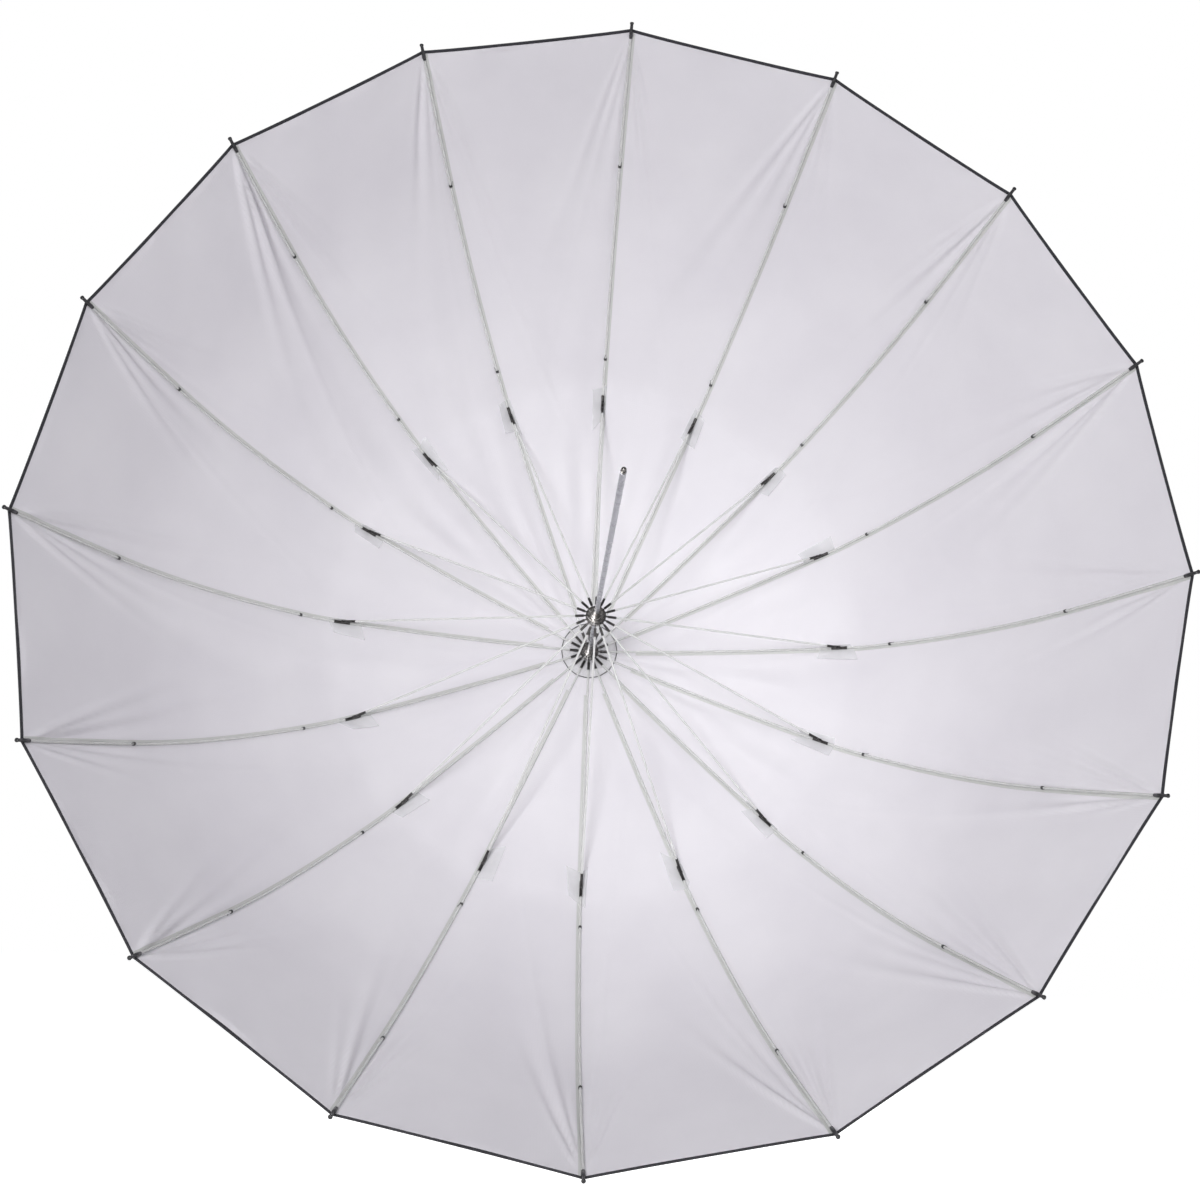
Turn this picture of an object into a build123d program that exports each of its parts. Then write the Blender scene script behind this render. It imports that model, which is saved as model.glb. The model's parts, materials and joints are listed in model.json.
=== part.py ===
from build123d import *
import os
from math import cos, degrees, radians, sin

os.makedirs("parts", exist_ok=True)

# A deep 16-rib photographic umbrella, open. Its shaft lies along Y and its bowl opens
# towards -Y. The origin is on the shaft's axis, in the middle of the stretch that a
# light's umbrella holder grips. Each rib moves in its own plane through the axis. In such
# a plane, local x is the distance out from the axis and local y is the depth from the
# ribs' pivot ring towards the opening.

# Driving dimensions, in millimetres and degrees
rib_count = 16
pivot_radius = 14.0          # of the wire ring in the notch, and of the one in the runner
link_length = 446.0          # rib pivot to stretcher joint, and stretcher joint to runner pivot
rest_slope = 18.0            # slope of the first link when open
rib_heading = 10.1           # slope of the rod where it leaves the notch
rod_radius = 2.0
stretcher_radius = 1.75
glue_gap = 0.05              # between a rod and the bore of its fitting
shaft_radius = 4.0
shaft_bore = 3.4
shaft_back = -16.0           # depths along the shaft
shaft_front = 980.0
grip_start = 346.0
grip_end = 980.0

# The rib's centreline: (length, radius) of its arcs, from the pivot outwards
rib_arcs = [(463.8, 1780.0), (40.0, 165.0), (400.0, 800.0), (234.0, 4000.0)]
joint_at = 447.8             # distance along the rib to the middle of its bracket
bracket_half = 14.0
flex_gap = 1.5               # from the bracket to the point where the rib bends when it folds
flex_at = joint_at + bracket_half + flex_gap

eye_thickness = 2.0
eye_radius = 2.2
wire_radius = 0.6
wire_hole = 0.69
slot_width = 2.5
crown_radius = 17.0
slot_floor = 11.0

fabric = 0.4                 # thickness of each fabric
fabric_gap = 0.3
fabric_clear = 3.2           # from a rib's centreline to the white fabric
hub_hole = 9.0
hub_fabric_depth = -5.8      # of the white fabric at its hole

notch_y = (grip_start + grip_end) / 2
rib_length = sum(length for length, radius in rib_arcs)
rise = link_length * sin(radians(rest_slope))
reach = pivot_radius + link_length * cos(radians(rest_slope))
runner_depth = 2 * rise


def spot(r, depth):
    """A point in the plane of the rib at azimuth 0."""
    return (r, notch_y - depth, 0)


def rib_at(s):
    """Radius, depth and heading in radians, s along a rib's centreline."""
    r, depth, heading = pivot_radius, 0.0, radians(rib_heading)
    for length, radius in rib_arcs:
        turn = min(s, length) / radius
        r += radius * (sin(heading + turn) - sin(heading))
        depth += radius * (cos(heading) - cos(heading + turn))
        heading += turn
        s -= length
        if s <= 0:
            break
    return r, depth, heading


def rib_pieces(start, end):
    """(start point, tangent, radius, degrees) of each arc of a rib between two distances."""
    pieces, passed = [], 0.0
    for length, radius in rib_arcs:
        low, high = max(start, passed), min(end, passed + length)
        if high - low > 0.01:
            r, depth, heading = rib_at(low)
            pieces.append(((r, depth), (cos(heading), sin(heading)), radius,
                           degrees((high - low) / radius)))
        passed += length
    return pieces


def depth_plane(depth):
    """A plane across the shaft, facing the opening, with local y along Z."""
    return Plane(origin=(0, notch_y - depth, 0), x_dir=(1, 0, 0), z_dir=(0, -1, 0))


def azimuth(number):
    """The rib's azimuth: number 1 points up and the rest follow clockwise from the front."""
    return 90 - (number - 1) * 360 / rib_count


meridian = Plane(origin=spot(0, 0), x_dir=(1, 0, 0), z_dir=(0, 0, -1))

# ---------------------------------------------------------------- shaft
catch_depth = runner_depth + 34.0
catch_length = 17.0
window_width = 2.2
window_spare = 0.8
window_floor = shaft_bore - 1.5
window_deep = 4.0
crimp_width = 1.2
crimp_deep = 0.25

with BuildPart() as shaft:
    with BuildSketch(depth_plane(shaft_back)):
        Circle(shaft_radius)
        Circle(shaft_bore, mode=Mode.SUBTRACT)
    extrude(amount=shaft_front - shaft_back)
    # the window that the catch stands out of
    with BuildSketch(Plane.XY.offset(window_floor)):
        with Locations((0, notch_y - catch_depth - catch_length / 2)):
            Rectangle(window_width, catch_length + window_spare)
    extrude(amount=window_deep, mode=Mode.SUBTRACT)
    # the crimp that holds the catch's tail, where the grip stretch begins
    with BuildSketch(depth_plane(grip_start - crimp_width)):
        Circle(2 * shaft_radius)
        Circle(shaft_radius - crimp_deep, mode=Mode.SUBTRACT)
    extrude(amount=crimp_width, mode=Mode.SUBTRACT)
shaft.part.label = "shaft"
export_step(shaft.part, "parts/shaft.step")

# ---------------------------------------------------------------- shaft cap
collar_length = 4.0
collar_radius = 3.6          # less than the shaft's, so that a sleeve slides on over it
collar_round = 0.6
neck_radius = 2.5
neck_length = 2.4
ball_radius = 3.2
ball_sink = 1.0              # of the ball into the end of its neck
plug_length = 10.0
cap_clear = 0.05

with BuildPart() as shaft_cap:
    with BuildSketch(depth_plane(shaft_front - plug_length)):
        Circle(shaft_bore - cap_clear)
    extrude(amount=plug_length)
    with BuildSketch(depth_plane(shaft_front)):
        Circle(collar_radius)
    extrude(amount=collar_length)
    fillet(shaft_cap.edges().filter_by(GeomType.CIRCLE).group_by(Axis.Y)[0], collar_round)
    with BuildSketch(depth_plane(shaft_front + collar_length)):
        Circle(neck_radius)
    extrude(amount=neck_length + ball_radius)
    with Locations(spot(0, shaft_front + collar_length + neck_length + ball_radius - ball_sink)):
        Sphere(ball_radius)
shaft_cap.part.label = "shaft_cap"
export_step(shaft_cap.part, "parts/shaft_cap.step")

# ---------------------------------------------------------------- catch
tooth_top = 6.0
tooth_land = 2.5
catch_thick = 1.6
catch_low = 0.6
catch_high = 3.2

with BuildPart() as catch:
    with BuildSketch(Plane.YZ.offset(-catch_thick / 2)):
        with BuildLine():
            Polyline(
                (notch_y - catch_depth, catch_low),
                (notch_y - catch_depth, tooth_top),
                (notch_y - catch_depth - tooth_land, tooth_top),
                (notch_y - catch_depth - catch_length, catch_high),
                (notch_y - catch_depth - catch_length, catch_low),
                close=True,
            )
        make_face()
    extrude(amount=catch_thick)
catch.part.label = "catch"
export_step(catch.part, "parts/catch.step")

# ---------------------------------------------------------------- notch
notch_back = -3.0
notch_front = 4.0
hub_boss = 8.0
hub_boss_length = 4.0
crown_round = 0.8
groove_half = 0.65

with BuildPart() as notch:
    with BuildSketch(depth_plane(notch_back)):
        Circle(crown_radius)
    extrude(amount=notch_front - notch_back)
    with BuildSketch(depth_plane(notch_front)):
        Circle(hub_boss)
    extrude(amount=hub_boss_length)
    fillet(notch.edges().filter_by(GeomType.CIRCLE).group_by(Axis.Y)[0], crown_round)
    with BuildSketch(depth_plane(notch_back)):
        with PolarLocations(0, rib_count):
            with Locations((slot_floor + crown_radius / 2, 0)):
                Rectangle(crown_radius, slot_width)
    extrude(amount=notch_front - notch_back, mode=Mode.SUBTRACT)
    # the groove that the wire is laid into from behind
    with BuildSketch(depth_plane(notch_back)):
        Circle(pivot_radius + groove_half)
        Circle(pivot_radius - groove_half, mode=Mode.SUBTRACT)
    extrude(amount=groove_half - notch_back, mode=Mode.SUBTRACT)
    with BuildSketch(depth_plane(notch_back)):
        Circle(shaft_radius)
    extrude(amount=notch_front + hub_boss_length - notch_back, mode=Mode.SUBTRACT)
notch.part.label = "notch"
export_step(notch.part, "parts/notch.step")

with BuildPart() as notch_wire:
    with BuildSketch(meridian):
        with Locations((pivot_radius, 0)):
            Circle(wire_radius)
    revolve(axis=Axis.Y)
notch_wire.part.label = "notch_wire"
export_step(notch_wire.part, "parts/notch_wire.step")

# ---------------------------------------------------------------- runner
runner_back = runner_depth - 4.0
runner_front = runner_depth + 3.0
runner_cap = 14.0            # radius of the ring that closes the front of the crown
runner_cap_thick = 2.5
runner_cap_round = 1.2
step_radius = 9.0
step_length = 3.5
sleeve_radius = 5.3
runner_end = runner_depth + 32.0
runner_bore = 4.3
sleeve_round = 0.6

with BuildPart() as runner:
    with BuildSketch(depth_plane(runner_back)):
        Circle(crown_radius)
    extrude(amount=runner_front - runner_back)
    with BuildSketch(depth_plane(runner_front)):
        Circle(runner_cap)
    extrude(amount=runner_cap_thick)
    fillet(runner.edges().filter_by(GeomType.CIRCLE).group_by(Axis.Y)[0], runner_cap_round)
    with BuildSketch(depth_plane(runner_front + runner_cap_thick)):
        Circle(step_radius)
    extrude(amount=step_length)
    fillet(runner.edges().filter_by(GeomType.CIRCLE).group_by(Axis.Y)[0], runner_cap_round)
    with BuildSketch(depth_plane(runner_front)):
        Circle(sleeve_radius)
    extrude(amount=runner_end - runner_front)
    fillet(runner.edges().filter_by(GeomType.CIRCLE).group_by(Axis.Y)[0], sleeve_round)
    with BuildSketch(depth_plane(runner_back)):
        with PolarLocations(0, rib_count):
            with Locations((slot_floor + crown_radius / 2, 0)):
                Rectangle(crown_radius, slot_width)
    extrude(amount=runner_front - runner_back, mode=Mode.SUBTRACT)
    # the groove that holds the wire, which the ring in front closes
    with BuildSketch(depth_plane(runner_depth - groove_half)):
        Circle(pivot_radius + groove_half)
        Circle(pivot_radius - groove_half, mode=Mode.SUBTRACT)
    extrude(amount=runner_front + groove_half - runner_depth, mode=Mode.SUBTRACT)
    with BuildSketch(depth_plane(runner_back)):
        Circle(runner_bore)
    extrude(amount=runner_end - runner_back, mode=Mode.SUBTRACT)
runner.part.label = "runner"
export_step(runner.part, "parts/runner.step")

with BuildPart() as runner_wire:
    with BuildSketch(meridian):
        with Locations((pivot_radius, runner_depth)):
            Circle(wire_radius)
    revolve(axis=Axis.Y)
runner_wire.part.label = "runner_wire"
export_step(runner_wire.part, "parts/runner_wire.step")

# ---------------------------------------------------------------- inner rib
neck_end = 6.5
neck_overlap = 0.5           # of an eye's neck into its socket
neck_height = 3.0
rib_socket_radius = 2.45
rib_socket_end = 23.0
rod_start = 9.0
sleeve_wall = 0.6
bore_spare = 1.0             # past each end of the sleeve, when its bore is cut
tab_thick = 1.6
tab_radius = 2.6
tab_hole = 1.06
tab_foot = 6.0               # half the tab's length where it meets the sleeve
bracket_to_flex = 1.4
bracket_end = flex_at - bracket_to_flex
rod_end_gap = 0.1

rib_plane = Plane(origin=spot(pivot_radius, 0), z_dir=(0, 0, -1),
                  x_dir=(cos(radians(rib_heading)), -sin(radians(rib_heading)), 0))
socket_middle = (rod_start + rib_socket_end) / 2
socket_r, socket_z, socket_heading = rib_at(socket_middle)
socket_plane = Plane(origin=spot(socket_r, socket_z),
                     z_dir=(cos(socket_heading), -sin(socket_heading), 0))
joint_r, joint_z, joint_heading = rib_at(joint_at)

with BuildPart() as rib_inner:
    # eye and socket at the notch
    with BuildSketch(rib_plane.offset(-eye_thickness / 2)):
        Circle(eye_radius)
        with Locations(((neck_end + neck_overlap) / 2, 0)):
            Rectangle(neck_end + neck_overlap, neck_height)
    extrude(amount=eye_thickness)
    with BuildSketch(socket_plane.offset(neck_end - socket_middle)):
        Circle(rib_socket_radius)
    extrude(amount=rib_socket_end - neck_end)
    with BuildSketch(socket_plane.offset(rod_start - socket_middle)):
        Circle(rod_radius + glue_gap)
    extrude(amount=rib_socket_end, mode=Mode.SUBTRACT)
    with BuildSketch(rib_plane.offset(-eye_thickness)):
        Circle(wire_hole)
    extrude(amount=2 * eye_thickness, mode=Mode.SUBTRACT)
    # bracket: a sleeve on the rod, with a tab for the stretcher's rivet
    with BuildSketch(meridian.offset(-tab_thick / 2)):
        with Locations((reach, rise)):
            Circle(tab_radius)
        with BuildLine():
            Polyline(
                (reach - tab_radius * cos(joint_heading), rise - tab_radius * sin(joint_heading)),
                (reach + tab_radius * cos(joint_heading), rise + tab_radius * sin(joint_heading)),
                (joint_r + tab_foot * cos(joint_heading), joint_z + tab_foot * sin(joint_heading)),
                (joint_r - tab_foot * cos(joint_heading), joint_z - tab_foot * sin(joint_heading)),
                close=True,
            )
        make_face()
        with Locations((reach, rise)):
            Circle(tab_hole, mode=Mode.SUBTRACT)
    extrude(amount=tab_thick)
    with BuildLine(meridian) as sleeve_line:
        for start, tangent, radius, size in rib_pieces(joint_at - bracket_half, bracket_end):
            JernArc(start, tangent, radius, size)
    sleeve_face = Plane(origin=sleeve_line.line @ 0, z_dir=sleeve_line.line % 0)
    with BuildSketch(sleeve_face):
        Circle(rod_radius + sleeve_wall)
    sweep(path=sleeve_line.line)
    with BuildLine(meridian) as bore_line:
        bore_start, bore_end = joint_at - bracket_half - bore_spare, bracket_end + bore_spare
        for start, tangent, radius, size in rib_pieces(bore_start, bore_end):
            JernArc(start, tangent, radius, size)
    with BuildSketch(Plane(origin=bore_line.line @ 0, z_dir=bore_line.line % 0)):
        Circle(rod_radius + glue_gap)
    sweep(path=bore_line.line, mode=Mode.SUBTRACT)
    # the rod, a solid of its own inside the socket and the bracket
    with BuildLine(meridian) as rod_line:
        rod_end = flex_at - rod_radius - rod_end_gap
        for start, tangent, radius, size in rib_pieces(rod_start + glue_gap, rod_end):
            JernArc(start, tangent, radius, size)
    with BuildSketch(Plane(origin=rod_line.line @ 0, z_dir=rod_line.line % 0)):
        Circle(rod_radius)
    sweep(path=rod_line.line)

# ---------------------------------------------------------------- outer rib
tip_socket = 12.0
tip_wall = 0.5
tip_shoulder = 1.0
tip_nose = 11.0
tip_nose_radius = 1.5
tip_flare_radius = 2.2
tip_flare = 2.5

flex_r, flex_z, flex_heading = rib_at(flex_at)
end_r, end_z, end_heading = rib_at(rib_length)
tip_plane = Plane(origin=spot(end_r, end_z), z_dir=(cos(end_heading), -sin(end_heading), 0))

with BuildPart() as rib_outer:
    with BuildLine(meridian) as rod_line:
        for start, tangent, radius, size in rib_pieces(flex_at, rib_length):
            JernArc(start, tangent, radius, size)
    with BuildSketch(Plane(origin=rod_line.line @ 0, z_dir=rod_line.line % 0)):
        Circle(rod_radius)
    sweep(path=rod_line.line)
    with Locations(spot(flex_r, flex_z)):
        Sphere(rod_radius)
    # the tip, whose nose stands out beyond the fabric
    with BuildSketch(tip_plane.offset(-tip_socket)):
        Circle(rod_radius + tip_wall)
        Circle(rod_radius + glue_gap, mode=Mode.SUBTRACT)
    extrude(amount=tip_socket + glue_gap)
    with BuildSketch(tip_plane.offset(glue_gap)):
        Circle(rod_radius + tip_wall)
    extrude(amount=tip_shoulder)
    with BuildSketch(tip_plane.offset(tip_shoulder)):
        Circle(tip_nose_radius)
    extrude(amount=tip_nose)
    with BuildSketch(tip_plane.offset(tip_nose)):
        Circle(tip_nose_radius)
    with BuildSketch(tip_plane.offset(tip_nose + tip_flare)):
        Circle(tip_flare_radius)
    loft()

# ---------------------------------------------------------------- stretcher
ear_inner = 1.1
ear_thick = 1.0
ear_radius = 2.6
ear_hole = 1.03
fork_end = 8.0
fork_solid = 2.0
fork_neck = 2.8              # height of an ear where it meets the socket
fork_socket_radius = 2.3
fork_socket_end = 24.0
stretcher_socket_radius = 2.2
stretcher_eye_end = 21.0
rivet_radius = 1.0
rivet_head = 1.7
rivet_head_thick = 0.5
rivet_gap = 0.02

fork_plane = Plane(origin=spot(reach, rise), z_dir=(0, 0, -1),
                   x_dir=(-cos(radians(rest_slope)), -sin(radians(rest_slope)), 0))
along = fork_plane.x_dir
eye_plane = Plane(origin=spot(pivot_radius, runner_depth), x_dir=-along, z_dir=(0, 0, -1))
fork_out = ear_inner + ear_thick

with BuildPart() as stretcher:
    # fork at the rib
    for side in (-fork_out, ear_inner):
        with BuildSketch(fork_plane.offset(side)):
            Circle(ear_radius)
            with Locations(((fork_end + fork_solid) / 2, 0)):
                Rectangle(fork_end + fork_solid, fork_neck)
            Circle(ear_hole, mode=Mode.SUBTRACT)
        extrude(amount=ear_thick)
    with BuildSketch(Plane(origin=fork_plane.from_local_coords((fork_end, 0, 0)), z_dir=along)):
        Circle(fork_socket_radius)
    extrude(amount=fork_socket_end - fork_end)
    bore_face = Plane(origin=fork_plane.from_local_coords((fork_end + fork_solid, 0, 0)), z_dir=along)
    with BuildSketch(bore_face):
        Circle(stretcher_radius + glue_gap)
    extrude(amount=fork_socket_end, mode=Mode.SUBTRACT)
    # eye at the runner
    with BuildSketch(eye_plane.offset(-eye_thickness / 2)):
        Circle(eye_radius)
        with Locations(((neck_end + neck_overlap) / 2, 0)):
            Rectangle(neck_end + neck_overlap, neck_height)
    extrude(amount=eye_thickness)
    with BuildSketch(Plane(origin=eye_plane.from_local_coords((neck_end, 0, 0)), z_dir=-along)):
        Circle(stretcher_socket_radius)
    extrude(amount=stretcher_eye_end - neck_end)
    with BuildSketch(Plane(origin=eye_plane.from_local_coords((rod_start, 0, 0)), z_dir=-along)):
        Circle(stretcher_radius + glue_gap)
    extrude(amount=stretcher_eye_end, mode=Mode.SUBTRACT)
    with BuildSketch(eye_plane.offset(-eye_thickness)):
        Circle(wire_hole)
    extrude(amount=2 * eye_thickness, mode=Mode.SUBTRACT)
    # rod
    with BuildSketch(bore_face.offset(glue_gap)):
        Circle(stretcher_radius)
    extrude(amount=link_length - fork_end - fork_solid - rod_start - 2 * glue_gap)
    # rivet
    with BuildSketch(fork_plane.offset(-fork_out - rivet_gap)):
        Circle(rivet_radius)
    extrude(amount=2 * (fork_out + rivet_gap))
    for side in (-fork_out - rivet_gap - rivet_head_thick, fork_out + rivet_gap):
        with BuildSketch(fork_plane.offset(side)):
            Circle(rivet_head)
        extrude(amount=rivet_head_thick)

# One node of each for each rib
for number in range(1, rib_count + 1):
    for name, piece in (("rib_inner", rib_inner), ("rib_outer", rib_outer), ("stretcher", stretcher)):
        with BuildPart() as copy:
            add(piece.part, rotation=(0, -azimuth(number), 0))
        copy.part.label = f"{name}_{number:02d}"
        export_step(copy.part, f"parts/{name}_{number:02d}.step")


# ---------------------------------------------------------------- fabric
def fabric_line(drop):
    """(radius, depth) down the middle of the bowl's wall at a rib, drop behind the white fabric's front."""
    distances = [96, 180, 270, 360, 440, 480, 505, 580, 660, 740, 820, 900, 1000, rib_length]
    points = [(hub_hole, hub_fabric_depth - drop)]
    for s in distances:
        r, depth, heading = rib_at(s)
        away = fabric_clear + drop
        points.append((r + away * sin(heading), depth - away * cos(heading)))
    return points


hole_cut = 10.0              # how far the cut for the hub's hole runs either way
# the rim is cut square to the shaft
rim_r, rim_depth = fabric_line(0)[-1]


def to_rim(points):
    """The same points, with the last one run on in a straight line to the rim's depth."""
    (r, depth), (last_r, last_depth) = points[-2:]
    share = (rim_depth - depth) / (last_depth - depth)
    return points[:-1] + [(r + share * (last_r - r), rim_depth)]


def past_rim(points):
    """The same points and one more, so that a cutting solid runs past the rim."""
    (r, depth), (last_r, last_depth) = points[-2:]
    return points + [(2 * last_r - r, 2 * last_depth - depth)]


for name, front in (("canopy", 0.0), ("cover", fabric + fabric_gap)):
    with BuildPart() as bowl:
        for r, depth in to_rim(fabric_line(front + fabric)):
            with BuildSketch(depth_plane(depth)):
                RegularPolygon(r, rib_count)
        loft(ruled=True)
        for r, depth in past_rim(to_rim(fabric_line(front))):
            with BuildSketch(depth_plane(depth)):
                RegularPolygon(r, rib_count)
        loft(ruled=True, mode=Mode.SUBTRACT)
        with BuildSketch(depth_plane(hub_fabric_depth - hole_cut)):
            Circle(hub_hole)
        extrude(amount=2 * hole_cut, mode=Mode.SUBTRACT)
    bowl.part.label = name
    export_step(bowl.part, f"parts/{name}.step")

# the hem is a tape inside the rim
hem_width = 6.0
hem_thick = 0.3
hem_gap = 0.05
wall_r, wall_depth = fabric_line(0)[-2]
low_depth = rim_depth - hem_width
low_r = rim_r - hem_width * (rim_r - wall_r) / (rim_depth - wall_depth)

with BuildPart() as hem:
    for depth, r in ((low_depth, low_r), (rim_depth, rim_r)):
        with BuildSketch(depth_plane(depth)):
            RegularPolygon(r - hem_gap, rib_count)
    loft(ruled=True)
    for depth, r in ((low_depth, low_r), (rim_depth, rim_r)):
        with BuildSketch(depth_plane(depth)):
            RegularPolygon(r - hem_gap - hem_thick, rib_count)
    loft(ruled=True, mode=Mode.SUBTRACT)
hem.part.label = "hem"
export_step(hem.part, "parts/hem.step")

# ---------------------------------------------------------------- apex disc and rear cap
disc_radius = 52.0
disc_thick = 0.6
disc_gap = 0.25
hub_slope = (fabric_line(0)[1][1] - hub_fabric_depth) / (fabric_line(0)[1][0] - hub_hole)

with BuildPart() as apex_disc:
    with BuildSketch(meridian):
        with BuildLine():
            inner = hub_fabric_depth + disc_gap
            outer = inner + (disc_radius - hub_hole) * hub_slope
            Polyline(
                (hub_hole, inner), (disc_radius, outer),
                (disc_radius, outer + disc_thick), (hub_hole, inner + disc_thick),
                close=True,
            )
        make_face()
    revolve(axis=Axis.Y)
apex_disc.part.label = "apex_disc"
export_step(apex_disc.part, "parts/apex_disc.step")

cap_gap = 0.3
cap_face = hub_fabric_depth - 2 * fabric - fabric_gap - cap_gap
cap_flange = 13.0
cap_flange_thick = 2.0
cap_body = 6.5
cap_length = 16.0
cap_round = 4.0

with BuildPart() as rear_cap:
    with BuildSketch(depth_plane(cap_face)):
        Circle(cap_flange)
    extrude(amount=-cap_flange_thick)
    with BuildSketch(depth_plane(cap_face - cap_flange_thick)):
        Circle(cap_body)
    extrude(amount=-cap_length)
    fillet(rear_cap.edges().filter_by(GeomType.CIRCLE).group_by(Axis.Y)[-1], cap_round)
    with BuildSketch(depth_plane(shaft_back)):
        Circle(shaft_radius)
    extrude(amount=cap_face - shaft_back, mode=Mode.SUBTRACT)
rear_cap.part.label = "rear_cap"
export_step(rear_cap.part, "parts/rear_cap.step")
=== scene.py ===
import json
from math import cos, pi, radians, sin, sqrt

import bpy
import numpy as np
from mathutils import Matrix, Vector


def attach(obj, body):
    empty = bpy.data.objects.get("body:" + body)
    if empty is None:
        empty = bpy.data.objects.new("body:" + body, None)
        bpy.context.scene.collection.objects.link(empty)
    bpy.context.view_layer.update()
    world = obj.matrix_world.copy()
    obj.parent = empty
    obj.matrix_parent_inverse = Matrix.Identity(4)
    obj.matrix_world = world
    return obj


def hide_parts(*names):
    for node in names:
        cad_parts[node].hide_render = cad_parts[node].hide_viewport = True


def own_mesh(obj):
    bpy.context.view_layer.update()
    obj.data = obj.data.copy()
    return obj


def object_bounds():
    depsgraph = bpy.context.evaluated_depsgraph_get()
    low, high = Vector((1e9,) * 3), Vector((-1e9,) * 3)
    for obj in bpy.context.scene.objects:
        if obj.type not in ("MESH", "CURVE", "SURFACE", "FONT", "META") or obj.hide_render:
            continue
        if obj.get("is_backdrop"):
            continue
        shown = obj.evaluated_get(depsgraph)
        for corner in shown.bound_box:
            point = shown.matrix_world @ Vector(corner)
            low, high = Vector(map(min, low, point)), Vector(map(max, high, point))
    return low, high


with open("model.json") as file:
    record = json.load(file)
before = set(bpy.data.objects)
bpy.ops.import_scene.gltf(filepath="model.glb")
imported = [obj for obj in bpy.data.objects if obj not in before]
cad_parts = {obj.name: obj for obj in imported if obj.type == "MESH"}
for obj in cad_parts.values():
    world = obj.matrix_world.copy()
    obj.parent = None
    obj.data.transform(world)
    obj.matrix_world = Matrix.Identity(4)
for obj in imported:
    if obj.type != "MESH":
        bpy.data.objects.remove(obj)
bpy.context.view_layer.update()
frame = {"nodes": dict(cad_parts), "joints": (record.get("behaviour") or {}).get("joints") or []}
joints = {j["name"]: j for j in frame["joints"]}
nodes = frame["nodes"]

# ---------------------------------------------------------------- the umbrella's geometry
# Metres. A rib lies in a plane through the shaft, where r is the distance out from the
# shaft and depth is the distance from the ribs' pivot ring towards the opening (-Y).
RIBS = 16
PIVOT = Vector(joints["rib_fold_01"]["pos_m"])
NOTCH_Y = PIVOT.y
PIVOT_R = sqrt(PIVOT.x**2 + PIVOT.z**2)
RIB_HEADING = radians(10.1)
RIB_ARCS = [(0.4638, 1.780), (0.040, 0.165), (0.400, 0.800), (0.234, 4.000)]
RIB_LENGTH = sum(length for length, radius in RIB_ARCS)
JOINT_AT = 0.4478
FLEX_AT = 0.4633
ROD_R = 0.002
CLEAR = 0.0032  # from a rib's centreline to the white lining
HUB_R, HUB_DEPTH, HUB_SLOPE_END = 0.009, -0.0058, 0.096
HALF_GORE = pi / RIBS


def rib_number(k):
    return f"{k + 1:02d}"


def azimuth(k):
    """Rib 0 points up, and the rest follow clockwise as seen from the opening."""
    return pi / 2 - k * 2 * pi / RIBS


def rib_at(s):
    """(r, depth, heading) at distance s along a rib, for arrays."""
    s = np.asarray(s, float)
    r, depth, heading, left = PIVOT_R + 0 * s, 0 * s, RIB_HEADING + 0 * s, s.copy()
    for length, radius in RIB_ARCS:
        turn = np.clip(left, 0, length) / radius
        r = r + radius * (np.sin(heading + turn) - np.sin(heading))
        depth = depth + radius * (np.cos(heading) - np.cos(heading + turn))
        heading, left = heading + turn, left - length
    over = np.clip(left, 0, None)
    return r + over * np.cos(heading), depth + over * np.sin(heading), heading


def fabric_at(s):
    """(r, depth, heading) of the white lining where it lies on a rib."""
    r, depth, heading = rib_at(np.maximum(s, HUB_SLOPE_END))
    r, depth = r + CLEAR * np.sin(heading), depth - CLEAR * np.cos(heading)
    t = np.clip(np.asarray(s, float) / HUB_SLOPE_END, 0, 1)
    return HUB_R + t * (r - HUB_R), HUB_DEPTH + t * (depth - HUB_DEPTH), heading


def place(r, depth, angle):
    """Points in the shared frame from arrays of radius, depth and azimuth."""
    return np.stack([r * np.cos(angle), NOTCH_Y - depth, r * np.sin(angle)], axis=-1)


# ---------------------------------------------------------------- fabric surface
SAG = 0.014  # inward sag of a gore, as a share of its width
RIM_CUT = 0.0025  # how far the rim curves in between two tips
RIM_CUT_START = 0.8  # where along a rib that curve begins
WAVES = [(0.9, 1.0), (1.7, 2.0), (2.6, 3.0)]  # cycles across a gore, and along it
WAVE_HEIGHT = 0.0016
WAVE_START = 0.3  # the waves grow to full height over this much of a rib
CREASES = 6  # at each corner of a gore, the last of them long and faint
CREASE_HEIGHT = 0.0095
CREASE_SPREAD = 0.0022  # half width at the tip, which grows with the distance from it
CREASE_START = 0.04  # a crease reaches full height this far from the tip
CREASE_CLEAR = 0.012  # and is lower than that within this distance of the rib
RIM_FLAT = 0.014  # the hem holds the rim straight for this far

rng = np.random.default_rng(16)
crease_angle = 0.04 + 0.065 * np.arange(CREASES) + rng.uniform(-0.02, 0.025, (RIBS, 2, CREASES))
crease_size = CREASE_HEIGHT * rng.uniform(0.35, 1.15, (RIBS, 2, CREASES)) * (1, -0.8, 1, -0.7, 0.8, 0.22)
crease_length = rng.uniform(0.09, 0.30, (RIBS, 2, CREASES))
crease_angle[..., -1] = rng.uniform(0.08, 0.22, (RIBS, 2))
crease_length[..., -1] = rng.uniform(0.40, 0.70, (RIBS, 2))
drift_phase = rng.uniform(0, 2 * pi, (RIBS, 3, 2))
drift_size = rng.uniform(0.3, 1.0, (RIBS, 3))


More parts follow.
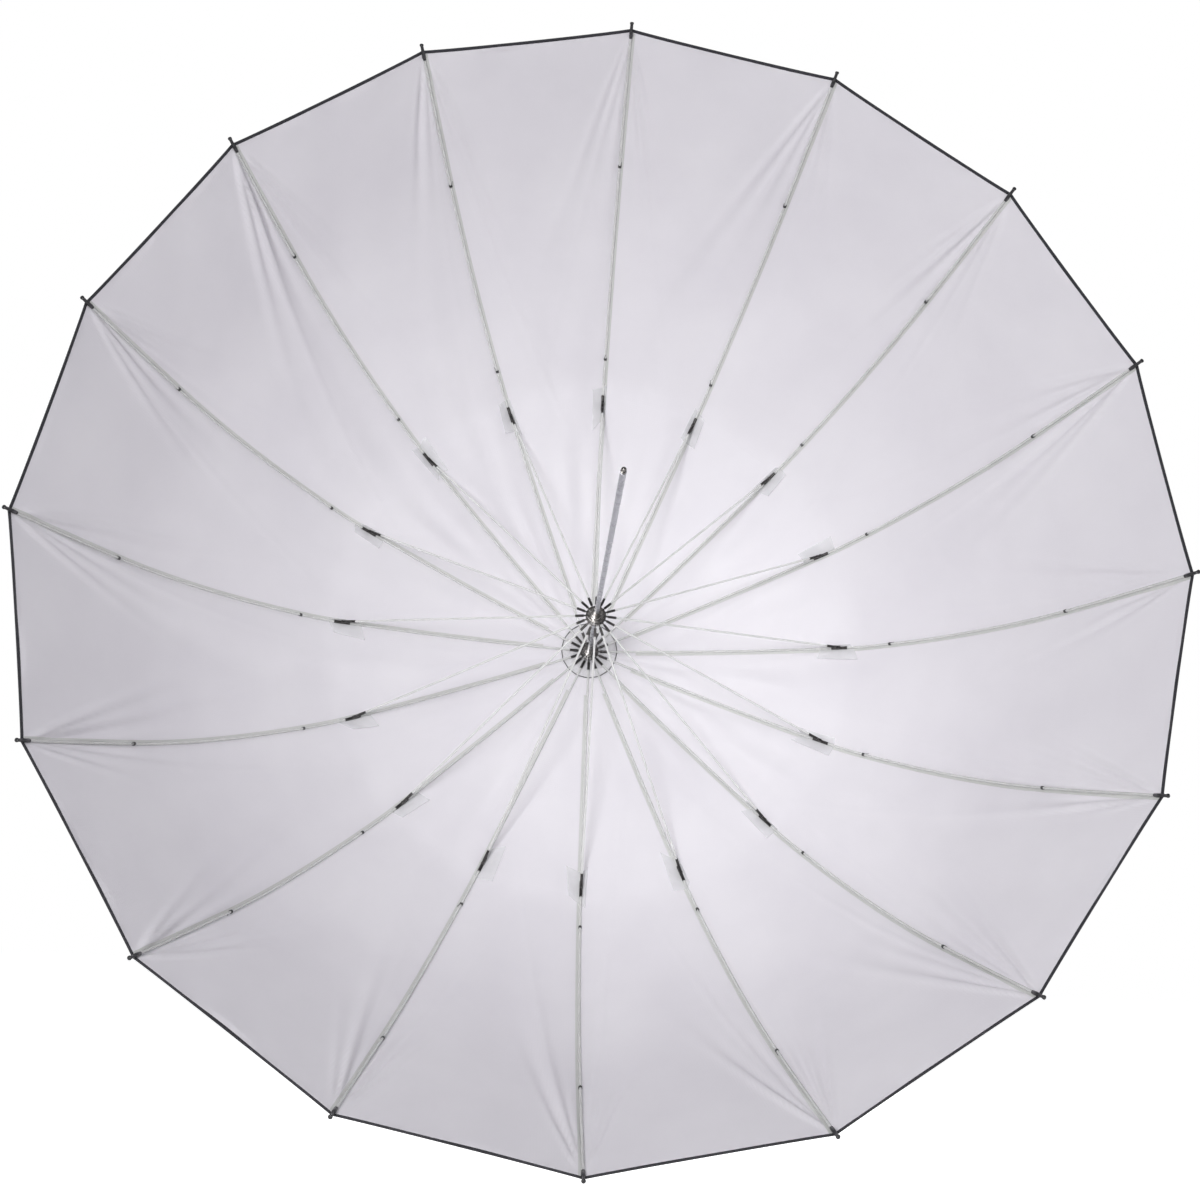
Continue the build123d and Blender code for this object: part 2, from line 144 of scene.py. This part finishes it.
def creases(lateral, back, rib, side):
    """Height of the creases that run in from a rib's tip, lateral from the rib and back from the rim."""
    height = 0
    for i in range(CREASES):
        angle = crease_angle[rib, side, i]
        along = back * cos(angle) + lateral * sin(angle)
        across = lateral * cos(angle) - back * sin(angle)
        spread = CREASE_SPREAD + (0.008 if i == CREASES - 1 else 0.030) * np.clip(along, 0, 0.4)
        fade = np.clip(along / CREASE_START, 0, 1) * np.exp(-((along / crease_length[rib, side, i]) ** 2))
        height = height + crease_size[rib, side, i] * fade * np.exp(-((across / spread) ** 2))
    return height * np.clip(lateral / CREASE_CLEAR, 0, 1)


def gore_points(rib, w, s, off):
    """Points of the gore between rib and the next one. w runs 0 to 1 across it and s out along
    the ribs, and off is a distance behind the lining's face."""
    a, b = azimuth(rib), azimuth(rib + 1)
    chord_shape = 4 * w * (1 - w)
    s_there = s - RIM_CUT * chord_shape**0.6 * np.clip(
        (s - RIM_CUT_START) / (RIB_LENGTH - RIM_CUT_START), 0, None) ** 2
    r, depth, heading = fabric_at(s_there)
    flat = (1 - w)[..., None] * place(r, depth, a) + w[..., None] * place(r, depth, b)
    width = 2 * r * sin(HALF_GORE)
    height = SAG * width * chord_shape * (1 - np.clip(s_there / RIB_LENGTH, 0, 1) ** 6)
    back = np.maximum(RIB_LENGTH - s_there, 0)
    height = height + creases(w * width, back, rib, 0)
    height = height + creases((1 - w) * width, back, (rib + 1) % RIBS, 1)
    for i, (across, along) in enumerate(WAVES):
        wave = np.sin(across * 2 * pi * w + drift_phase[rib, i, 0])
        wave = wave * np.sin(along * 5 * s_there + drift_phase[rib, i, 1])
        wave = wave * chord_shape * np.clip(s_there / WAVE_START, 0, 1)
        height = height + WAVE_HEIGHT * drift_size[rib, i] * wave
    height = height * np.clip((RIB_LENGTH - s) / RIM_FLAT, 0, 1)
    # the direction into the bowl, square to the gore
    middle = (a + b) / 2
    into = np.stack([-np.sin(heading) * cos(middle), -np.cos(heading),
                     -np.sin(heading) * sin(middle)], axis=-1)
    return flat + (height - off)[..., None] * into


def panel_grid(rib, sides, s, off):
    """Points on a panel centred on a rib: sides runs -1 to 1 from mid-gore to mid-gore."""
    rows = []
    for x in sides:
        if x >= 0:
            w, gore = np.full(len(s), x / 2), rib
        else:
            w, gore = np.full(len(s), 1 + x / 2), (rib - 1) % RIBS
        rows.append(gore_points(gore, w, s, np.full(len(s), off)))
    return np.array(rows)


def link(name, points, faces, smooth=True, uv=None):
    mesh = bpy.data.meshes.new(name)
    mesh.from_pydata([tuple(p) for p in points], [], faces)
    mesh.validate()
    if uv is not None:
        layer = mesh.uv_layers.new(name="UVMap")
        index = np.zeros(len(mesh.loops), np.int32)
        mesh.loops.foreach_get("vertex_index", index)
        layer.data.foreach_set("uv", np.asarray(uv, np.float32)[index].ravel())
    mesh.polygons.foreach_set("use_smooth", [smooth] * len(mesh.polygons))
    obj = bpy.data.objects.new(name, mesh)
    bpy.context.scene.collection.objects.link(obj)
    return obj


def shell(name, front, back, uv, crease=None):
    """A thin closed sheet from two grids of points, with a crease along one of its rows."""
    m, n = front.shape[:2]
    points = np.concatenate([front.reshape(-1, 3), back.reshape(-1, 3)])
    far = m * n
    faces = []
    for i in range(m - 1):
        for j in range(n - 1):
            a, b, c, d = i * n + j, (i + 1) * n + j, (i + 1) * n + j + 1, i * n + j + 1
            faces.append((a, b, c, d))
            faces.append((far + d, far + c, far + b, far + a))
    rim = [i * n for i in range(m)] + [(m - 1) * n + j for j in range(1, n)]
    rim += [i * n + n - 1 for i in range(m - 2, -1, -1)] + [j for j in range(n - 2, 0, -1)]
    for p, q in zip(rim, rim[1:] + rim[:1]):
        faces.append((q, p, far + p, far + q))
    obj = link(name, points, faces, uv=np.concatenate([uv, uv]))
    edges = {frozenset((p, q)) for p, q in zip(rim, rim[1:] + rim[:1])}
    edges |= {frozenset((far + p, far + q)) for p, q in zip(rim, rim[1:] + rim[:1])}
    if crease is not None:
        line = [crease * n + j for j in range(n)]
        edges |= {frozenset((p + k, q + k)) for p, q in zip(line, line[1:]) for k in (0, far)}
    for e in obj.data.edges:
        if frozenset(e.vertices) in edges:
            e.use_edge_sharp = True
    return obj


def panel(name, rib, s, sides, off, thick):
    front, back = panel_grid(rib, sides, s, off), panel_grid(rib, sides, s, off + thick)
    r = fabric_at(s)[0]
    uv = np.stack([np.outer(sides, r * sin(HALF_GORE)), np.broadcast_to(s, (len(sides), len(s)))], axis=-1)
    return shell(name, front, back, uv.reshape(-1, 2), crease=len(sides) // 2)


# ---------------------------------------------------------------- materials
def new_material(name, color, roughness, metallic=0.0):
    made = bpy.data.materials.new(name)
    made.use_nodes = True
    shader = made.node_tree.nodes["Principled BSDF"]
    shader.inputs["Base Color"].default_value = (*color, 1)
    shader.inputs["Roughness"].default_value = roughness
    shader.inputs["Metallic"].default_value = metallic
    return made, made.node_tree.nodes, made.node_tree.links, shader


def coordinates(net, links, kind, scale):
    source = net.new("ShaderNodeTexCoord")
    mapping = net.new("ShaderNodeMapping")
    mapping.inputs["Scale"].default_value = (scale,) * 3
    links.new(source.outputs[kind], mapping.inputs["Vector"])
    return mapping.outputs["Vector"]


def noise(net, links, where, scale, detail=3.0):
    made = net.new("ShaderNodeTexNoise")
    made.inputs["Scale"].default_value = scale
    made.inputs["Detail"].default_value = detail
    links.new(where, made.inputs["Vector"])
    return made.outputs["Fac"]


def ramp(net, links, value, stops):
    made = net.new("ShaderNodeValToRGB")
    while len(made.color_ramp.elements) < len(stops):
        made.color_ramp.elements.new(0.5)
    for element, (place_at, color) in zip(made.color_ramp.elements, stops):
        element.position = place_at
        element.color = (*color, 1)
    links.new(value, made.inputs["Fac"])
    return made.outputs["Color"]


def bump(net, links, shader, height, strength, distance):
    made = net.new("ShaderNodeBump")
    made.inputs["Strength"].default_value = strength
    made.inputs["Distance"].default_value = distance
    links.new(height, made.inputs["Height"])
    links.new(made.outputs["Normal"], shader.inputs["Normal"])


def weave(net, links, threads):
    """Height of a plain weave, with this many threads to the metre."""
    where = coordinates(net, links, "UV", 1.0)
    bands = []
    for direction in ("X", "Y"):
        band = net.new("ShaderNodeTexWave")
        band.bands_direction = direction
        band.inputs["Scale"].default_value = threads / 20
        band.inputs["Distortion"].default_value = 0.4
        band.inputs["Detail"].default_value = 1.0
        links.new(where, band.inputs["Vector"])
        bands.append(band.outputs["Fac"])
    both = net.new("ShaderNodeMath")
    both.operation = "MULTIPLY"
    links.new(bands[0], both.inputs[0])
    links.new(bands[1], both.inputs[1])
    return both.outputs["Value"]


def cloth_material(name, dark, light, roughness, sheen, threads):
    made, net, links, shader = new_material(name, light, roughness)
    where = coordinates(net, links, "Object", 1.0)
    links.new(ramp(net, links, noise(net, links, where, 5.0), [(0.3, dark), (0.7, light)]),
              shader.inputs["Base Color"])
    shader.inputs["Sheen Weight"].default_value = sheen
    shader.inputs["Sheen Roughness"].default_value = 0.5
    bump(net, links, shader, weave(net, links, threads), 0.25, 0.0002)
    return made


def rough_material(name, dark, light, rough_low, rough_high, scale, metallic=0.0, bumpy=0.05):
    """A hard material whose colour and roughness wander a little."""
    made, net, links, shader = new_material(name, light, rough_high, metallic)
    where = coordinates(net, links, "Object", 1.0)
    value = noise(net, links, where, scale, 5.0)
    links.new(ramp(net, links, value, [(0.3, dark), (0.7, light)]), shader.inputs["Base Color"])
    spread = net.new("ShaderNodeMapRange")
    spread.inputs["To Min"].default_value = rough_low
    spread.inputs["To Max"].default_value = rough_high
    links.new(value, spread.inputs["Value"])
    links.new(spread.outputs["Result"], shader.inputs["Roughness"])
    bump(net, links, shader, noise(net, links, where, scale * 6), bumpy, 0.0005)
    return made, shader


LINING = cloth_material("white_lining", (0.785, 0.765, 0.80), (0.84, 0.822, 0.85), 0.52, 0.08, 1600)
COVER = cloth_material("black_cover", (0.012, 0.012, 0.014), (0.022, 0.022, 0.026), 0.70, 0.04, 1300)
HEM = cloth_material("hem_tape", (0.008, 0.008, 0.012), (0.018, 0.018, 0.024), 0.75, 0.10, 900)
SEAM = cloth_material("seam_tape", (0.60, 0.605, 0.585), (0.69, 0.695, 0.675), 0.60, 0.10, 1200)
TIE = cloth_material("tie_thread", (0.03, 0.03, 0.03), (0.08, 0.08, 0.08), 0.80, 0.10, 2500)

GLASS_ROD, rod_shader = rough_material(
    "fibreglass_rod", (0.84, 0.848, 0.825), (0.94, 0.948, 0.93), 0.16, 0.30, 90, bumpy=0.04)
rod_shader.inputs["Transmission Weight"].default_value = 0.40
rod_shader.inputs["IOR"].default_value = 1.55
STEEL, _ = rough_material("dark_steel", (0.035, 0.034, 0.033), (0.085, 0.082, 0.08), 0.24, 0.42, 260, 1.0)
NICKEL, _ = rough_material("dark_nickel", (0.10, 0.095, 0.09), (0.24, 0.23, 0.22), 0.10, 0.24, 200, 1.0)
SHAFT_METAL, _ = rough_material("shaft_tube", (0.34, 0.35, 0.37), (0.46, 0.47, 0.49), 0.22, 0.34, 60, 1.0)
BRIGHT_WIRE, _ = rough_material("bright_wire", (0.50, 0.50, 0.51), (0.68, 0.68, 0.69), 0.18, 0.30, 300, 1.0)
BLACK_PLASTIC, _ = rough_material(
    "black_plastic", (0.010, 0.010, 0.011), (0.025, 0.025, 0.027), 0.24, 0.40, 120)
CLEAR_FILM, film_shader = rough_material("clear_film", (0.93, 0.93, 0.94), (0.99, 0.99, 1.0), 0.08, 0.20, 70)
film_shader.inputs["Alpha"].default_value = 0.46
DISC_FILM, disc_shader = rough_material("disc_film", (0.90, 0.91, 0.90), (0.96, 0.965, 0.955), 0.15, 0.30, 50)
disc_shader.inputs["Alpha"].default_value = 0.15
DISC_EDGE, _ = rough_material("disc_edge", (0.02, 0.022, 0.02), (0.05, 0.055, 0.05), 0.3, 0.5, 90)


def paint(obj, *made):
    obj.data.materials.clear()
    for m in made:
        obj.data.materials.append(m)


# ---------------------------------------------------------------- CAD nodes
def islands(mesh):
    """For each vertex, the number of the separate solid that it belongs to."""
    at = np.zeros(len(mesh.vertices) * 3)
    mesh.vertices.foreach_get("co", at)
    at = np.round(at.reshape(-1, 3) * 1e6).astype(np.int64)
    same = np.unique(at, axis=0, return_inverse=True)[1].ravel()
    parent = list(range(same.max() + 1))

    def root(i):
        while parent[i] != i:
            parent[i] = parent[parent[i]]
            i = parent[i]
        return i

    for e in mesh.edges:
        a, b = root(same[e.vertices[0]]), root(same[e.vertices[1]])
        if a != b:
            parent[a] = b
    return np.array([root(i) for i in same])


def paint_longest(obj, long_material, other_material):
    """The longest solid of a node gets one material, and its fittings the other."""
    mesh, group = obj.data, islands(obj.data)
    at = np.zeros(len(mesh.vertices) * 3)
    mesh.vertices.foreach_get("co", at)
    at = at.reshape(-1, 3)
    longest = max(set(group), key=lambda g: np.linalg.norm(np.ptp(at[group == g], axis=0)))
    paint(obj, long_material, other_material)
    for face in mesh.polygons:
        face.material_index = 0 if group[face.vertices[0]] == longest else 1


for k in range(RIBS):
    n = rib_number(k)
    paint_longest(nodes[f"rib_inner_{n}"], GLASS_ROD, STEEL)
    paint_longest(nodes[f"rib_outer_{n}"], GLASS_ROD, BLACK_PLASTIC)
    paint_longest(nodes[f"stretcher_{n}"], GLASS_ROD, STEEL)
paint(nodes["shaft"], SHAFT_METAL)
paint(nodes["shaft_cap"], NICKEL)
paint(nodes["notch"], NICKEL)
paint(nodes["runner"], NICKEL)
paint(nodes["rear_cap"], BLACK_PLASTIC)
paint(nodes["notch_wire"], BRIGHT_WIRE)
paint(nodes["runner_wire"], BRIGHT_WIRE)
paint(nodes["catch"], BRIGHT_WIRE)

# ---------------------------------------------------------------- lining, cover, hem and seams
FABRIC = 0.0003
COVER_OFF = 0.0008  # from the lining's face back to the cover's
CROWN_END = 0.190  # along a rib, where the panels near the hub end
HEM_WIDTH = 0.0035
HEM_PAST = 0.0008  # past the fabrics' edge
HEM_OFF, HEM_THICK = -0.0003, COVER_OFF + FABRIC + 0.0005
SEAM_WIDTH = 0.0065
SEAM_THICK = 0.0004
ACROSS = 61
INNER_ROWS, OUTER_ROWS = ((44, 110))


def cut_area(start, end):
    """Flat area of a panel as it is cut: the gore's straight width, summed along the rib's curve."""
    s = np.linspace(start, end, 201)
    width = 2 * fabric_at(s)[0] * sin(HALF_GORE)
    return float(np.sum((width[1:] + width[:-1]) / 2 * np.diff(s)))


def ride_and_fold(obj, part, k):
    body = f"{part}_{rib_number(k)}"
    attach(obj, body)
    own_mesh(obj)


def spaced_sides():
    """From -1 to 1, closer together near the rib."""
    even = np.linspace(-1, 1, ACROSS)
    return np.sign(even) * np.abs(even) ** 1.5


def spaced_rows(low, high, count):
    """From low to high, closer together near high."""
    return low + (high - low) * (1 - (1 - np.linspace(0, 1, count)) ** 1.35)


parts = [("rib_inner", "crown", np.linspace(0, CROWN_END, INNER_ROWS // 2)),
         ("rib_inner", "near", np.linspace(CROWN_END, FLEX_AT, INNER_ROWS // 2)),
         ("rib_outer", "far", spaced_rows(FLEX_AT, RIB_LENGTH, OUTER_ROWS))]
for k in range(RIBS):
    n = rib_number(k)
    for part, where, s in parts:
        for layer, material, off, node, slot in (
                ("lining", LINING, 0.0, "canopy", "white_fabric"),
                ("cover", COVER, COVER_OFF, "cover", "black_fabric")):
            piece = panel(f"{layer}_{where}_{n}", k, s, spaced_sides(), off, FABRIC)
            paint(piece, material)
            ride_and_fold(piece, part, k)
            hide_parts(node)
            wide = 2 * float(fabric_at(s[-1])[0]) * sin(HALF_GORE)
            cut_area(s[0], s[-1])
    rows = np.linspace(RIB_LENGTH - HEM_WIDTH, RIB_LENGTH + HEM_PAST, 4)
    hem = panel(f"hem_{n}", k, rows, spaced_sides(), HEM_OFF, HEM_THICK)
    paint(hem, HEM)
    ride_and_fold(hem, "rib_outer", k)
    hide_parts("hem")


def strip(name, k, s, low, high, off, thick):
    """A narrow band of cloth beside a rib, low to high sideways from it."""
    r = fabric_at(s)[0]
    half = np.maximum(r * sin(HALF_GORE), 1e-6)
    grids = []
    for lift in (off, off + thick):
        rows = []
        for t in np.linspace(0, 1, 4):
            side = np.clip((low + t * (high - low)) / half, -1, 1)
            gore = k if high > 0 else (k - 1) % RIBS
            w = side / 2 if high > 0 else 1 + side / 2
            rows.append(gore_points(gore, w, s, np.full(len(s), lift)))
        grids.append(np.array(rows))
    uv = np.stack([np.repeat(np.linspace(low, high, 4)[:, None], len(s), 1),
                   np.broadcast_to(s, (4, len(s)))], axis=-1)
    return shell(name, grids[0], grids[1], uv.reshape(-1, 2))


SEAM_START = 0.075
SEAM_LIFT = -0.0006  # in front of the lining
for k in range(RIBS):
    n = rib_number(k)
    for part, where, low, high in (("rib_inner", "near", SEAM_START, FLEX_AT),
                                   ("rib_outer", "far", FLEX_AT, RIB_LENGTH - HEM_WIDTH)):
        s = np.linspace(low, high, 60)
        seam = strip(f"seam_{where}_{n}", k, s, 0.0004, SEAM_WIDTH, SEAM_LIFT, SEAM_THICK)
        paint(seam, SEAM)
        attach(seam, f"{part}_{n}")

# ---------------------------------------------------------------- clear tabs at the stretcher joints
TAB_LENGTH = 0.060
TAB_THICK = 0.0003
TAB_LIFT = 0.00035  # off the lining, where the rib's bracket holds it down


def surface(k, side, s, off):
    """Points at lateral distances side from rib k."""
    half = fabric_at(s)[0] * sin(HALF_GORE)
    x = np.clip(side / half, -1, 1)
    right = gore_points(k, np.abs(x) / 2, s, off)
    left = gore_points((k - 1) % RIBS, 1 - np.abs(x) / 2, s, off)
    return np.where((x >= 0)[..., None], right, left)


def tab(k):
    """A piece of folded film round the joint: a long flap on one side, a short one on the other."""
    long_side = -1 if rng.random() < 0.35 else 1
    wide, narrow = rng.uniform(0.017, 0.027), rng.uniform(0.003, 0.014)
    slant = rng.uniform(-0.009, 0.009, 4)
    curl = rng.uniform(0.002, 0.006, 2)
    shift = rng.uniform(-0.004, 0.002)
    u, v = np.meshgrid(np.linspace(-1, 1, 23), np.linspace(-1, 1, 17), indexing="ij")
    reach = np.where(u > 0, wide, narrow)
    side = long_side * u * reach * (1 + 0.12 * v * np.sign(slant[0]))
    cut = np.where(u > 0, slant[0] * v + slant[1], slant[2] * v + slant[3])
    s = JOINT_AT - 0.003 + shift + v * TAB_LENGTH / 2 + np.abs(u) * cut
    lift = np.where(u > 0, curl[0], curl[1]) * np.abs(u) ** 1.7
    lift = lift + 0.0006 * np.sin(3 * v + 4 * u + slant[2] * 300) * np.abs(u)
    front, back = surface(k, side, s, -TAB_LIFT - lift - TAB_THICK), surface(k, side, s, -TAB_LIFT - lift)
    uv = np.stack([side, s], axis=-1).reshape(-1, 2)
    piece = shell(f"tab_{rib_number(k)}", front, back, uv, crease=17)
    paint(piece, CLEAR_FILM)
    ride_and_fold(piece, "rib_inner", k)


# ---------------------------------------------------------------- thread ties along each rib
TIES = (0.533, 0.900)  # along a rib
THREAD = 0.0004
TIE_TURNS = 5


def rod_frame(k, s):
    """Centre, tangent, sideways and inward directions of the rod at s."""
    r, depth, heading = (float(v) for v in rib_at(s))
    a = azimuth(k)
    centre = np.array([r * cos(a), NOTCH_Y - depth, r * sin(a)])
    tangent = np.array([cos(heading) * cos(a), -sin(heading), cos(heading) * sin(a)])
    sideways = np.array([-sin(a), 0, cos(a)])
    return centre, tangent, sideways, np.cross(tangent, sideways)


def tube_faces(rings, around):
    """Faces of a closed tube, from rings of points one after another."""
    faces = [(i * around + j, i * around + (j + 1) % around, (i + 1) * around + (j + 1) % around,
              (i + 1) * around + j) for i in range(rings - 1) for j in range(around)]
    faces.append(tuple(range(around - 1, -1, -1)))
    faces.append(tuple((rings - 1) * around + j for j in range(around)))
    return faces


def tube(name, line, radius, around=8):
    """A closed round tube along a line of points."""
    line = np.asarray(line)
    ahead = np.gradient(line, axis=0)
    ahead /= np.linalg.norm(ahead, axis=1)[:, None]
    spare = np.array([0.31, 0.77, -0.55])
    across = np.cross(ahead, spare)
    across /= np.linalg.norm(across, axis=1)[:, None]
    other = np.cross(ahead, across)
    turn = np.linspace(0, 2 * pi, around, endpoint=False)
    rings = line[:, None] + radius * (np.cos(turn)[None, :, None] * across[:, None]
                                      + np.sin(turn)[None, :, None] * other[:, None])
    return link(name, rings.reshape(-1, 3), tube_faces(len(line), around))


def tie(k, number, s):
    centre, tangent, sideways, inward = rod_frame(k, s)
    start = rng.uniform(0, 2 * pi)
    turns = np.linspace(0, 1, TIE_TURNS * 16)
    angle = start + turns * TIE_TURNS * 2 * pi
    along = (turns - 0.5) * TIE_TURNS * 2.3 * THREAD
    out = ROD_R + THREAD * 0.9
    line = centre + along[:, None] * tangent + out * (np.cos(angle)[:, None] * sideways
                                                      + np.sin(angle)[:, None] * inward)
    tail = line[-1] + np.linspace(0.1, 1, 6)[:, None] * (
        0.006 * tangent + rng.uniform(-0.002, 0.002) * sideways + 0.0004 * (line[-1] - centre) / out)
    piece = tube(f"tie_{rib_number(k)}_{number}", np.vstack([line, tail]), THREAD)
    paint(piece, TIE)
    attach(piece, f"rib_outer_{rib_number(k)}")


for k in range(RIBS):
    tab(k)
    for number, s in enumerate(TIES, 1):
        tie(k, number, s + rng.uniform(-0.012, 0.012))

# ---------------------------------------------------------------- rubber caps on the ribs' tips
# (distance past the rib's end, radius)
TIP_PROFILE = [(-0.0095, 0.0022), (-0.0090, 0.0028), (0.0008, 0.0028), (0.0016, 0.0024), (0.0105, 0.0023),
               (0.0125, 0.0030), (0.0136, 0.0029), (0.0140, 0.0017)]


def tip_cap(k, around=20):
    centre, tangent, sideways, inward = rod_frame(k, RIB_LENGTH)
    turn = np.linspace(0, 2 * pi, around, endpoint=False)
    ring = np.cos(turn)[:, None] * sideways + np.sin(turn)[:, None] * inward
    points = np.concatenate([centre + x * tangent + r * ring for x, r in TIP_PROFILE])
    piece = link(f"tip_cap_{rib_number(k)}", points, tube_faces(len(TIP_PROFILE), around))
    paint(piece, BLACK_PLASTIC)
    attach(piece, f"rib_outer_{rib_number(k)}")


for k in range(RIBS):
    tip_cap(k)

# ---------------------------------------------------------------- the clear disc at the apex
# One sector on each rib, so that it folds with the ribs.
DISC_R = 0.052
DISC_OFF, DISC_THICK = -0.0009, 0.0004
BEAD = 0.0008
hub_end = float(fabric_at(HUB_SLOPE_END)[0])
DISC_AT = HUB_SLOPE_END * (DISC_R - HUB_R) / (hub_end - HUB_R)
for k in range(RIBS):
    n = rib_number(k)
    rows, sides = np.linspace(0.002, DISC_AT, 12), np.linspace(-1, 1, 13)
    film = panel(f"apex_disc_{n}", k, rows, sides, DISC_OFF, DISC_THICK)
    paint(film, DISC_FILM)
    rim = panel_grid(k, sides, np.array([DISC_AT]), DISC_OFF)[:, 0]
    bead = tube(f"apex_bead_{n}", rim, BEAD)
    paint(bead, DISC_EDGE)
    for piece in (film, bead):
        ride_and_fold(piece, "rib_inner", k)
    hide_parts("apex_disc")

# ---------------------------------------------------------------- seams on the black cover
COVER_SEAM_START = 0.03
COVER_SEAM_WIDTH = 0.0045
for k in range(RIBS):
    n = rib_number(k)
    for part, where, low, high in (("rib_inner", "near", COVER_SEAM_START, FLEX_AT),
                                   ("rib_outer", "far", FLEX_AT, RIB_LENGTH - HEM_WIDTH)):
        s = np.linspace(low, high, 60)
        seam = strip(f"cover_seam_{where}_{n}", k, s, 0.0003, COVER_SEAM_WIDTH,
                     COVER_OFF + FABRIC, SEAM_THICK)
        paint(seam, COVER)
        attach(seam, f"{part}_{n}")

# ---------------------------------------------------------------- stage, light and camera
FLOOR_Z = -1.05
FLOOR_HALF = 30
floor_corners = [(x * FLOOR_HALF, y * FLOOR_HALF, FLOOR_Z) for x, y in ((-1, -1), (1, -1), (1, 1), (-1, 1))]
floor = link("floor", floor_corners, [(0, 1, 2, 3)])
floor_material, net, links, shader = new_material("pale_floor", (0.90, 0.90, 0.90), 0.8)
shader.inputs["Emission Color"].default_value = (1, 1, 1, 1)
shader.inputs["Emission Strength"].default_value = 0.75
paint(floor, floor_material)
floor.visible_diffuse = False
floor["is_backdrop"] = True

world = bpy.data.worlds.new("studio")
bpy.context.scene.world = world
world.use_nodes = True
net, links = world.node_tree.nodes, world.node_tree.links
net.clear()
output = net.new("ShaderNodeOutputWorld")
seen, lighting = net.new("ShaderNodeBackground"), net.new("ShaderNodeBackground")
mix = net.new("ShaderNodeMixShader")
path = net.new("ShaderNodeLightPath")
seen.inputs["Color"].default_value = (1, 1, 1, 1)
lighting.inputs["Color"].default_value = (0.95, 0.96, 1.0, 1)
lighting.inputs["Strength"].default_value = 0.30
links.new(path.outputs["Is Camera Ray"], mix.inputs["Fac"])
links.new(lighting.outputs["Background"], mix.inputs[1])
links.new(seen.outputs["Background"], mix.inputs[2])
links.new(mix.outputs["Shader"], output.inputs["Surface"])


def area_light(name, where, target, size, power, color):
    lamp = bpy.data.lights.new(name, "AREA")
    lamp.shape, lamp.size, lamp.energy, lamp.color = "DISK", size, power, color
    obj = bpy.data.objects.new(name, lamp)
    obj.location = where
    obj.rotation_mode = "QUATERNION"
    obj.rotation_quaternion = (Vector(target) - Vector(where)).to_track_quat("-Z", "Y")
    obj.visible_camera = False
    bpy.context.scene.collection.objects.link(obj)


area_light("key_light", (-0.9, -3.9, -0.35), (0.1, 0.55, 0), 1.0, 104, (0.985, 0.985, 1.0))
area_light("warm_light", (-0.5, -1.6, -1.2), (0.35, 0.4, 0.4), 0.8, 8, (1.0, 0.90, 0.87))
area_light("top_light", (0.4, 1.0, 3.2), (0, 0.4, 0), 2.5, 40, (1.0, 0.98, 0.96))
area_light("rear_light", (1.5, 4.0, 1.2), (0, 0.4, 0), 2.0, 60, (1.0, 1.0, 1.0))

hot = bpy.data.lights.new("hub_light", "SPOT")
hot.energy, hot.spot_size, hot.spot_blend, hot.shadow_soft_size = 34, radians(24), 1.0, 0.12
hot.color = (0.97, 0.97, 1.0)
hub_light = bpy.data.objects.new("hub_light", hot)
hub_light.location = (-0.35, -2.2, 0.45)
hub_light.rotation_mode = "QUATERNION"
hub_light.rotation_quaternion = (Vector((0.2, 0.62, -0.2)) - hub_light.location).to_track_quat("-Z", "Y")
hub_light.visible_camera = False
bpy.context.scene.collection.objects.link(hub_light)

CAMERA_RADIUS = 0.8  # the canopy's corners, which the camera's place is a multiple of
EYE = (-0.1248, -0.677, 3.097)  # right, up and out of the mouth, from the notch
AIM = 0.4
TURN = radians(2.43)
camera_data = bpy.data.cameras.new("camera")
camera_data.sensor_width = 36
camera_data.lens = 40.87
camera_data.shift_x, camera_data.shift_y = 0.0024, 0.0079
camera = bpy.data.objects.new("camera", camera_data)
bpy.context.scene.collection.objects.link(camera)
bpy.context.scene.camera = camera
right, up, out = (CAMERA_RADIUS * v for v in EYE)
eye = Vector((right * cos(TURN) - up * sin(TURN), NOTCH_Y - out, right * sin(TURN) + up * cos(TURN)))
forward = (Vector((0, NOTCH_Y - AIM * CAMERA_RADIUS, 0)) - eye).normalized()
upward = Vector((-sin(TURN), 0, cos(TURN)))
side = forward.cross(upward).normalized()
upward = side.cross(forward)
camera.matrix_world = Matrix([[side[i], upward[i], -forward[i], eye[i]] for i in range(3)] + [[0, 0, 0, 1]])
bpy.context.scene.view_settings.view_transform = "Standard"

low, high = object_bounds()
